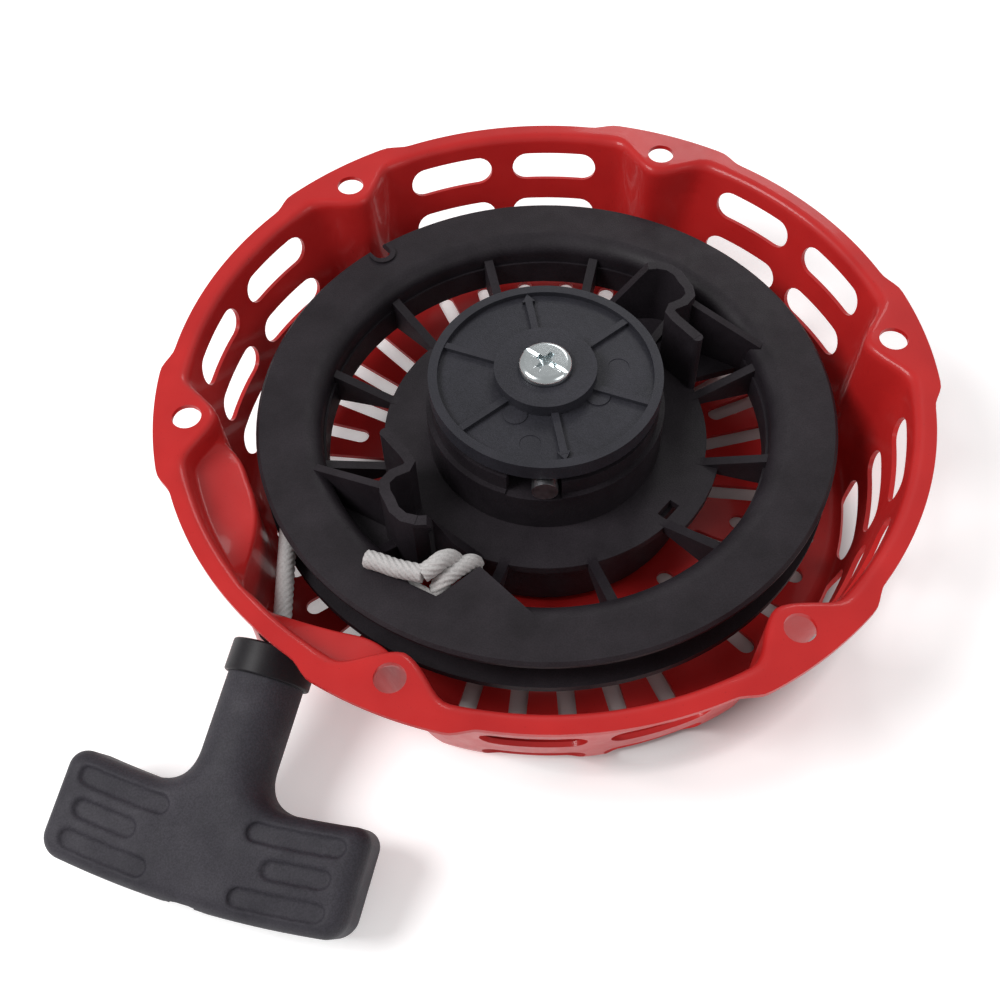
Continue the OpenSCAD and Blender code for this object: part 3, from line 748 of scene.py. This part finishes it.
def ring_rope(name, radius_mm, height, material):
    """One closed turn of rope round the axis."""
    length = 2 * math.pi * radius_mm
    turns = np.linspace(0, 2 * math.pi, int(length / 0.9) + 1)[:-1]
    line = np.stack([radius_mm * np.cos(turns), radius_mm * np.sin(turns), np.full(len(turns), height)], 1)
    along = np.arange(len(line)) * (length / len(line))
    strand_turns = round(along[-1] / ROPE_PITCH)
    along *= strand_turns * ROPE_PITCH / length
    points, faces = laid_rope(line, along, ROPE_R - COIL_SQUEEZE, 32, True)
    piece = make_piece(name, points, faces, "reel", "rope_white", material)
    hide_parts("rope_coil")
    return piece


# ---------- handle ----------

GRIP_CENTRE = np.array((-108.6, -119.0, -39.7))
PULL_AZIMUTH, PULL_DROOP = math.radians(-113.5), math.radians(16)
GRIP_LEVEL = np.array((math.cos(PULL_AZIMUTH), math.sin(PULL_AZIMUTH), 0.0))
GRIP_OUT = GRIP_LEVEL * math.cos(PULL_DROOP) - np.array((0, 0, math.sin(PULL_DROOP)))
GRIP_ALONG = np.array((-math.sin(PULL_AZIMUTH), math.cos(PULL_AZIMUTH), 0.0))
GRIP_FACE = np.cross(GRIP_OUT, GRIP_ALONG)
GRIP_LEN, GRIP_T = 88.0, 22.0
BAR_HALF_DEPTH, BAR_ROUNDING, BAR_BOW = 14.6, 5.5, 3.2
STEM_R, STEM_END, STEM_FILLET = 10.9, 52.0, 11
# Sunk ovals of one face: place across the bar, middle along it and half the straight length
OVALS = ((-8.4, 24.8, 11), (0, 27.5, 6.8), (8.4, 24.8, 10.5))
OVAL_R, OVAL_DEPTH = 2.5, 1.5
ROPE_BORE_R, KNOT_POCKET_R = 3.2, 8.0
EXIT_REACH = 61.2


def from_grip(points):
    """Points given as (out, along, face) from the grip's middle, in the part's frame."""
    points = np.asarray(points, float)
    return GRIP_CENTRE + points[:, :1] * GRIP_OUT + points[:, 1:2] * GRIP_ALONG + points[:, 2:] * GRIP_FACE


def rounded_box(parts, halves, rounding):
    """Distance to a box with rounded edges, from the distances to its middle along each axis."""
    over = [np.abs(p) - (h - rounding) for p, h in zip(parts, halves)]
    outside = np.sqrt(sum(np.maximum(o, 0) ** 2 for o in over))
    within = np.minimum(np.maximum.reduce(over), 0)
    return outside + within - rounding


def grip_piece(material):
    """Bowed bar and stem in one moulding, with three sunk ovals a side on both faces."""
    step = 0.55
    half_len, half_t = GRIP_LEN / 2, GRIP_T / 2
    x, y, z = grid((-STEM_END - 1, -half_len - 1, -half_t - 1), (16.4, half_len + 1, half_t + 1), step)
    bow = 0.4 - BAR_BOW * (y / half_len) ** 2
    bar = rounded_box((x - bow, y, z), (BAR_HALF_DEPTH, half_len - 0.1, half_t - 0.1), BAR_ROUNDING)
    stem = np.maximum(np.hypot(y, z) - STEM_R, np.maximum(x - 4, -STEM_END - x))
    shape = blend_min(bar, stem, STEM_FILLET)
    shape = -blend_min(-shape, half_t - 0.1 - np.abs(z), 1.5)
    shape = np.maximum(shape, x - 15)
    for row, middle, half in OVALS:
        off = np.hypot(x - bow - row, np.maximum(np.abs(np.abs(y) - middle) - half, 0)) - OVAL_R
        groove = np.maximum(off, half_t - OVAL_DEPTH - np.abs(z))
        shape = -blend_min(-shape, groove, 0.7)
    bore = np.hypot(y, z) - ROPE_BORE_R
    pocket = np.maximum(np.hypot(y, z) - KNOT_POCKET_R, -x)
    shape = np.maximum(shape, -np.minimum(bore, pocket))
    points, faces = net_surface(shape, (x[0, 0, 0], y[0, 0, 0], z[0, 0, 0]), step)
    piece = make_piece("grip_moulding", from_grip(points), faces, "handle", "grip_black", material)
    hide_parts("handle_grip")
    return piece


# ---------- screw ----------

SCREW_LOW_Z, SCREW_TOP_Z = 5.03, 7.7
SCREW_HEAD_R, SCREW_SHAFT_R, SCREW_END_Z = 8.2, 2.98, -16.0
SLOT_ANGLE = math.radians(-45)


def lathe(profile, around):
    """Points and faces of a profile of (radius, height), axis to axis, turned round Z."""
    points = [(0, 0, profile[0][1])]
    for radius, height in profile[1:-1]:
        points += [polar(radius, 360 * k / around, height) for k in range(around)]
    points.append((0, 0, profile[-1][1]))
    rings = len(profile) - 2
    ring = lambda i, k: 1 + i * around + k % around
    faces = [(0, ring(0, k + 1), ring(0, k)) for k in range(around)]
    for i in range(rings - 1):
        faces += [(ring(i, k), ring(i, k + 1), ring(i + 1, k + 1), ring(i + 1, k)) for k in range(around)]
    faces += [(ring(rings - 1, k), ring(rings - 1, k + 1), len(points) - 1) for k in range(around)]
    return points, faces


def recess_arm(turn, half_len, half_width, depth, taper):
    """Block with leaning sides that cuts one arm of a recess into the screw's top."""
    points = []
    cosine, sine = math.cos(turn), math.sin(turn)
    for level, narrow in ((SCREW_TOP_Z + 0.5, 0), (SCREW_TOP_Z - depth, taper)):
        for x, y in ((1, 1), (-1, 1), (-1, -1), (1, -1)):
            along, across = x * (half_len - 2 * narrow), y * (half_width - narrow)
            points.append((along * cosine - across * sine, along * sine + across * cosine, level))
    faces = [(0, 1, 2, 3), (7, 6, 5, 4)] + [(k, k + 4, (k + 1) % 4 + 4, (k + 1) % 4) for k in range(4)]
    return points, faces


def screw_piece(material):
    """Pan head with a flat top, a straight slot right across and a cross recess, on a plain shaft."""
    flat_r, rim_h = 6.2, 2.0
    profile = [(0, SCREW_END_Z), (SCREW_SHAFT_R, SCREW_END_Z), (SCREW_SHAFT_R, SCREW_LOW_Z),
               (SCREW_HEAD_R - 0.3, SCREW_LOW_Z), (SCREW_HEAD_R, SCREW_LOW_Z + 0.3)]
    for a in np.linspace(0, math.pi / 2, 9):
        radius = flat_r + (SCREW_HEAD_R - flat_r) * math.cos(a)
        profile.append((radius, SCREW_TOP_Z - rim_h + rim_h * math.sin(a)))
    profile.append((0, SCREW_TOP_Z))
    points, faces = lathe(profile, 96)
    piece = make_piece("screw_turning", points, faces, None, "zinc_screw", material)
    cutters = []
    # turn, half length, half width, depth and taper of each arm
    arms = {
        "slot": (SLOT_ANGLE, 9.5, 0.8, 0.8, 0.0),
        "arm_a": (SLOT_ANGLE, 3.7, 1.0, 2.0, 0.35),
        "arm_b": (SLOT_ANGLE + math.pi / 2, 3.7, 1.0, 2.0, 0.35),
        "core": (SLOT_ANGLE + math.pi / 4, 1.9, 1.9, 2.3, 0.5),
    }
    for name, arm in arms.items():
        cutter = make_piece("cut_" + name, *recess_arm(*arm), None, "zinc_screw", material, smooth=False)
        cut = piece.modifiers.new(name, "BOOLEAN")
        cut.object = cutter
        cut.solver = "EXACT"
        cutters.append(cutter)
    bpy.context.view_layer.update()
    shaped = bpy.data.meshes.new_from_object(piece.evaluated_get(bpy.context.evaluated_depsgraph_get()))
    piece.modifiers.clear()
    piece.data = shaped
    for cutter in cutters:
        bpy.data.objects.remove(cutter)
    piece.data.shade_smooth()
    soften(piece, 0.12, 30)
    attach(piece, "housing")
    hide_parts("guide_screw")
    return piece


# ---------- build ----------

add_camera()
add_world(0.5)
add_area_light("key", (-0.8, -0.1, 0.9), 0.6, 11)
add_area_light("fill", (0.8, -0.6, 0.7), 0.7, 2)
add_area_light("back", (0.35, 0.9, 0.7), 0.35, 1.6)
add_floor()

RED = red_paint()
REEL_BLACK = moulded_plastic(
    "reel_nylon", (0.013, 0.010, 0.013), (0.026, 0.021, 0.026), (0.45, 0.58), 0.45, 0.6, 0.22)
GUIDE_BLACK = moulded_plastic(
    "guide_acetal", (0.021, 0.021, 0.027), (0.034, 0.033, 0.042), (0.4, 0.52), 0.4, 0.5, 0.26)
GRIP_BLACK = moulded_plastic(
    "grip_rubber", (0.024, 0.022, 0.029), (0.044, 0.040, 0.050), (0.58, 0.7), 0.5, 0.8, 0.25)
COLLAR_BLACK = moulded_plastic(
    "collar_nylon", (0.008, 0.007, 0.009), (0.014, 0.012, 0.015), (0.4, 0.5), 0.4, 0.2, 0.2)
STEEL = plated_metal("bright_steel", (0.42, 0.42, 0.44), (0.6, 0.6, 0.62), (0.25, 0.42))
PAWL_STEEL = plated_metal("pawl_steel", (0.20, 0.20, 0.21), (0.34, 0.34, 0.36), (0.3, 0.5))
ZINC = plated_metal("zinc_plate", (0.56, 0.60, 0.61), (0.64, 0.68, 0.69), (0.16, 0.22))
SPRING = plated_metal("spring_steel", (0.16, 0.17, 0.19), (0.30, 0.31, 0.34), (0.25, 0.4))
ROPE = rope_fibre()
EYELET_BLACK = moulded_plastic(
    "eyelet_nylon", (0.015, 0.015, 0.016), (0.025, 0.025, 0.027), (0.3, 0.45), 0.5, 0.2, 0.45)

housing_piece(RED)
refine("centre_post", "post_turning", "housing", STEEL, 0.4)
refine("spring_hook", "spring_hook_blank", "housing", SPRING, 0.2)
refine("rope_eyelet", "eyelet_moulding", "housing", EYELET_BLACK, 0.4)
screw_piece(ZINC)
refine("reel", "reel_moulding", "reel", REEL_BLACK, 0.4)
refine("ratchet_guide", "guide_moulding", "guide", GUIDE_BLACK, 0.3)
grip_piece(GRIP_BLACK)
refine("handle_collar", "collar_moulding", "handle", COLLAR_BLACK, 0.9, 4)
for half in "ab":
    refine("pawl_" + half, "pawl_forging_" + half, "pawl_" + half, PAWL_STEEL, 0.3)
    refine("pawl_spring_" + half, "pawl_wire_" + half, "reel", SPRING, 0)
refine("friction_spring", "friction_wire", "guide", SPRING, 0)
refine("mainspring", "mainspring_strip", "reel", SPRING, 0)
refine("handle_knot", "knot_end", "handle", ROPE, 0)

tail_route = [(-59.3, -50.1, -10.2), (-54.6, -52.4, -10.2), (-50.5, -54.7, -10.2), (-45.8, -56.6, -10.2),
              (-43, -57.7, -10)]
arch_route = [(-43.2, -57.7, -10), (-40.1, -56.4, -9.2), (-37.6, -54.6, -9.2), (-35.2, -53.2, -10.8),
              (-33.6, -52.4, -14), (-33.2, -52.2, -17.5)]
crossing_route = [(-39.2, -59.4, -16.5), (-38.3, -59, -14.4), (-36.4, -57.7, -13.2), (-32.9, -55.5, -13),
                  (-29.3, -53.3, -14.6), (-27.8, -52.3, -17.5)]
rope_piece("tail_rope", tail_route, "reel", "rope_tail", ROPE, 0.5, taper=[(0, 1.2)])
rope_piece("arch_rope", arch_route, "reel", "rope_loop", ROPE, 0.5)
rope_piece("crossing_rope", crossing_route, "reel", "rope_loop", ROPE, 0.5)
ring_rope("coil_upper", INNER_LAY_R, LAY_Z + LAY_PITCH, ROPE)
ring_rope("coil_lower", INNER_LAY_R, LAY_Z - LAY_PITCH, ROPE)
ring_rope("coil_outer", OUTER_LAY_R, LAY_Z, ROPE)

# The lead leaves the outer turn along its tangent
exit_point = GRIP_CENTRE - EXIT_REACH * GRIP_OUT
exit_distance = math.hypot(exit_point[0], exit_point[1])
touch = math.atan2(exit_point[1], exit_point[0]) - math.acos(OUTER_LAY_R / exit_distance)
leave = np.array((OUTER_LAY_R * math.cos(touch), OUTER_LAY_R * math.sin(touch), LAY_Z))
lead = exit_point - leave
lead_start = leave + lead * LEAD_HIDDEN / np.linalg.norm(lead)
lead_route = [lead_start, (lead_start + exit_point) / 2, exit_point - lead * 0.02]
rope_piece("lead_rope", lead_route, "housing", "rope_lead", ROPE)
run_route = [exit_point + 1.2 * GRIP_OUT, exit_point + 30 * GRIP_OUT, GRIP_CENTRE - 0.2 * GRIP_OUT]
run = rope_piece("run_rope", run_route, None, "rope_run", ROPE)
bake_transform(run)
